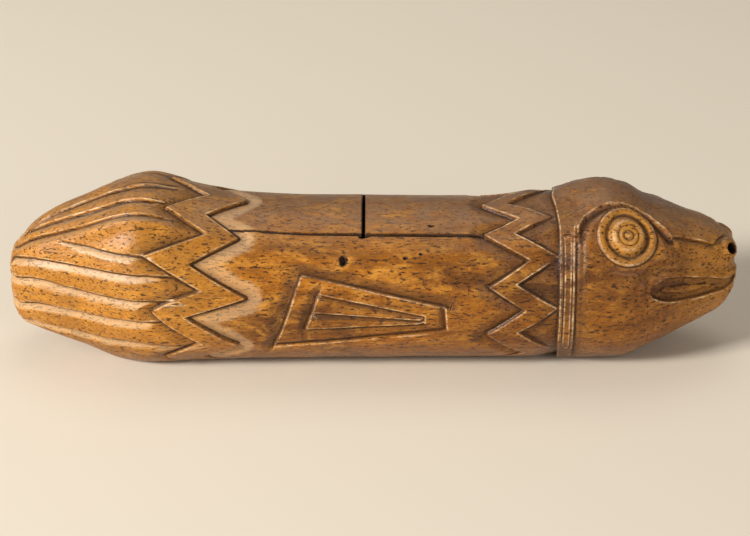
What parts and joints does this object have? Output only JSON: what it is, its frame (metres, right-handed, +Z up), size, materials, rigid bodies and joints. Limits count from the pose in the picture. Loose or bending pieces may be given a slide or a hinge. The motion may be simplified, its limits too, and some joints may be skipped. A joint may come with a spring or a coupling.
{
  "type": "slit drum",
  "caption": "Carved wooden slit drum in the form of a fish, a log hollowed through its underside with two sounding tongues freed by an H-shaped slit in the back.",
  "frame": {"origin": "centre of the outline on the plane that the drum stands on, below the middle of the log", "axes": "+X along the log towards the fish's head, +Z up through the slit back, +Y to the fish's left flank"},
  "size_m": [0.594, 0.138, 0.1457],
  "materials": {
    "oiled_wood": "dark orange-brown hardwood, oiled and polished by handling, with dark recesses and worn bright edges"
  },
  "bodies": {
    "root": {"drum_body": "oiled_wood"}
  },
  "joints": []
}
